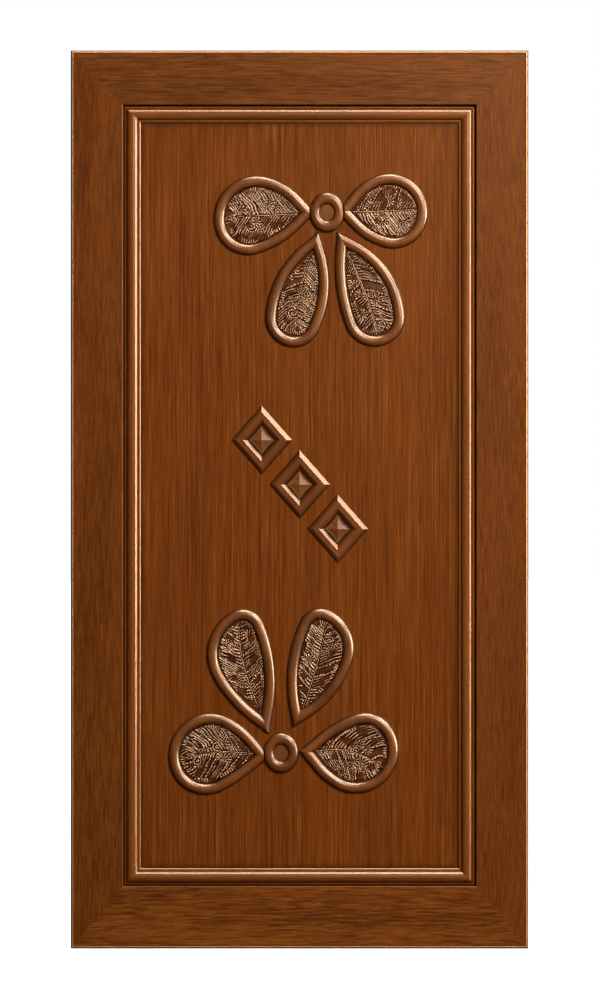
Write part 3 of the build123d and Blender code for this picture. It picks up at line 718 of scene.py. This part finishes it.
def screw_tree():
    """Slotted countersunk wood screws along -Z, cut with a thread, each turned by chance."""
    made = Repeat("wood_screws", SCREW)
    head, shank, length = (made.size(k) for k in ("Head Radius", "Shank Radius", "Length"))
    axis = made.node("GeometryNodeCurvePrimitiveLine", None,
                     {"Start": (0, 0, 0), "End": made.vector(0.0, 0.0, length * -1.0)})
    axis = made.node("GeometryNodeResampleCurve", {"mode": "COUNT"}, {"Curve": axis, "Count": 112})
    spot = made.node("GeometryNodeInputPosition")
    depth = made.part(spot, "Z") * -1.0
    cone = head - (head - shank) * (depth / made.size("Head Depth"))
    taper = shank * made.maths("MINIMUM", 1.0, (length - depth) / made.size("Point Length"))
    radius = made.maths("MAXIMUM", made.maths("MAXIMUM", cone, taper), LEAST_RADIUS)
    outline = made.node("GeometryNodeCurvePrimitiveCircle", None,
                        {"Resolution": 20, "Radius": 1.0})
    body = made.node("GeometryNodeCurveToMesh", None,
                     {"Curve": axis, "Profile Curve": outline, "Fill Caps": True,
                      "Scale": radius})
    around = made.maths("ARCTAN2", made.part(spot, "Y"), made.part(spot, "X"))
    turns = depth / made.size("Thread Pitch") + around * (0.5 / math.pi)
    wave = made.maths("PINGPONG", turns, 0.5) * 2.0
    threaded = made.maths("GREATER_THAN", depth, made.size("Plain Length"))
    sink = made.size("Thread Depth") / shank * wave * threaded
    narrowed = made.node("ShaderNodeVectorMath", {"operation": "MULTIPLY"},
                         {0: spot, 1: made.vector(1.0 - sink, 1.0 - sink, 1.0)})
    body = made.node("GeometryNodeSetPosition", None, {"Geometry": body, "Position": narrowed})
    slot = made.node("GeometryNodeMeshCube", None,
                     {"Size": made.vector(head * 3.0, made.size("Slot Width"),
                                          made.size("Slot Depth") * 2.0)})
    body = made.node("GeometryNodeMeshBoolean", {"operation": "DIFFERENCE"}, {0: body, 1: slot})
    put = made.node("GeometryNodeInstanceOnPoints", None,
                    {"Points": made.size("Points"), "Instance": body,
                     "Rotation": made.vector(0.0, made.size("Turn"), 0.0)})
    chance = made.node("FunctionNodeRandomValue", {"data_type": "FLOAT"},
                       {2: 0.0, 3: math.pi, "Seed": made.size("Seed")}, out=1)
    put = made.node("GeometryNodeRotateInstances", None,
                    {"Instances": put, "Rotation": made.vector(0.0, 0.0, chance)})
    put = made.node("GeometryNodeRealizeInstances", None, {0: put})
    put = made.node("GeometryNodeSetMaterial", None,
                    {"Geometry": put, "Material": made.size("Finish")})
    made.end("NodeGroupOutput", put)
    return made.tree


wood_screws = screw_tree()
screw_brass = brass("screw_turned_brass", 20, 0.2)
for seed, (part, (x, turn)) in enumerate(SCREW_SIDES.items()):
    mesh = bpy.data.meshes.new("screw_points_" + part)
    mesh.from_pydata([(x, SCREW_DEPTH, (height + step) / 1000) for height in HINGES.values()
                      for step in SCREW_STEPS], [], [])
    screws = linked("wood_screws_" + part, mesh)
    nodes = screws.modifiers.new("screws", "NODES")
    nodes.node_group = wood_screws
    sizes = dict(SCREW, Turn=turn, Seed=seed, Finish=screw_brass)
    for item in wood_screws.interface.items_tree:
        if item.name in sizes:
            nodes[item.identifier] = sizes[item.name]
    plain = bpy.data.meshes.new_from_object(
        screws.evaluated_get(bpy.context.evaluated_depsgraph_get()))
    screws.modifiers.remove(nodes)
    screws.data = plain
    plain.shade_smooth()
    plain.set_sharp_from_angle(angle=math.radians(40))
    plain.materials.clear()
    plain.materials.append(screw_brass)
    plain.polygons.foreach_set("material_index", [0] * len(plain.polygons))
    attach(screws, part)
    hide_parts("hinge_screws_" + part)

# ---------------------------------------------------------------- Floor, light and camera
# The stage: a pale floor and a white surround, one soft lamp in front and above, a bank of
# three warm raking lamps on the right and above, and a long lens square to the door.
DOOR_MIDDLE = (0.001, 0.0, 1.049)
DOOR_FRONT = -0.0275
FLOOR_REACH = 60.0
FLOOR_GLOW = 0.93  # as the camera sees it, so that the floor meets the white surround
WHITE = (1, 1, 1, 1)
stage = Finish("pale_floor")
shade = stage.node("ShaderNodeBsdfDiffuse", None, {"Color": (0.8, 0.8, 0.8, 1)})
seen = stage.node("ShaderNodeLightPath", out="Is Camera Ray")
glow = stage.node("ShaderNodeEmission", None, {"Color": WHITE, "Strength": seen * FLOOR_GLOW})
stage.end("ShaderNodeOutputMaterial", stage.node("ShaderNodeAddShader", None, {0: shade, 1: glow}))
floor_mesh = bpy.data.meshes.new("floor")
floor_mesh.from_pydata([(x * FLOOR_REACH, y * FLOOR_REACH, 0)
                        for x, y in ((-1, -1), (1, -1), (1, 1), (-1, 1))], [], [(0, 1, 2, 3)])
floor_mesh.materials.append(stage.material)
floor = linked("floor", floor_mesh)
floor.visible_diffuse = False
floor.visible_glossy = False


class Surround(Finish):
    """The node tree of the world."""

    def __init__(self, name):
        self.world = bpy.data.worlds.new(name)
        self.world.use_nodes = True
        self.tree = self.world.node_tree
        self.tree.nodes.clear()


# Darker in front of the door than behind it, dimmed in reflections, white to the camera
sky = Surround("surround")
bpy.context.scene.world = sky.world
level = sky.ranged(sky.part(sky.node("ShaderNodeTexCoord", out="Generated"), "Y"),
                   0.0, 0.45, 0.12, 1.0)
level = level * sky.ranged(sky.node("ShaderNodeLightPath", out="Is Glossy Ray"),
                           0.0, 1.0, 1.0, 0.4)
level = sky.maths("MAXIMUM", level, sky.node("ShaderNodeLightPath", out="Is Camera Ray"))
sky.end("ShaderNodeOutputWorld",
        sky.node("ShaderNodeBackground", None, {"Color": WHITE, "Strength": level}))


def softbox(name, way, distance, size, radiance, colour=(1, 1, 1)):
    """A square lamp that faces the middle of the door from the way given."""
    lamp = bpy.data.lights.new(name, "AREA")
    lamp.shape, lamp.size = "SQUARE", size
    lamp.energy = radiance * math.pi * size * size
    lamp.color = colour
    towards = Vector(way).normalized()
    box = linked(name, lamp)
    box.location = Vector(DOOR_MIDDLE) + towards * distance
    box.rotation_mode = "QUATERNION"
    box.rotation_quaternion = towards.to_track_quat("Z", "Y")
    return box


RAKING_BANK = (("side", 8, 44.0), ("corner", 47, 42.0), ("top", 84, 36.0))
softbox("front_softbox", (0.44, -0.78, 0.44), distance=6.0, size=2.4, radiance=22.0)
for spot, rise, radiance in RAKING_BANK:
    turn = math.radians(rise)
    raking = softbox(spot + "_softbox", (math.cos(turn), -0.11, math.sin(turn)), distance=9.0,
                     size=4.4, radiance=radiance, colour=(1.0, 0.81, 0.6))
    raking.visible_diffuse = False

PHOTO_HEIGHT = 2.337  # metres of the door's front plane that fill the picture
camera = bpy.data.cameras.new("camera")
camera.sensor_width = 36.0
camera.lens = 200.0
camera.clip_end = 200.0
eye = linked("camera", camera)
eye.location = (DOOR_MIDDLE[0], DOOR_FRONT - PHOTO_HEIGHT * camera.lens / camera.sensor_width,
                DOOR_MIDDLE[2])
eye.rotation_euler = (math.radians(90), 0, 0)
bpy.context.scene.camera = eye
bpy.context.scene.view_settings.view_transform = "Standard"
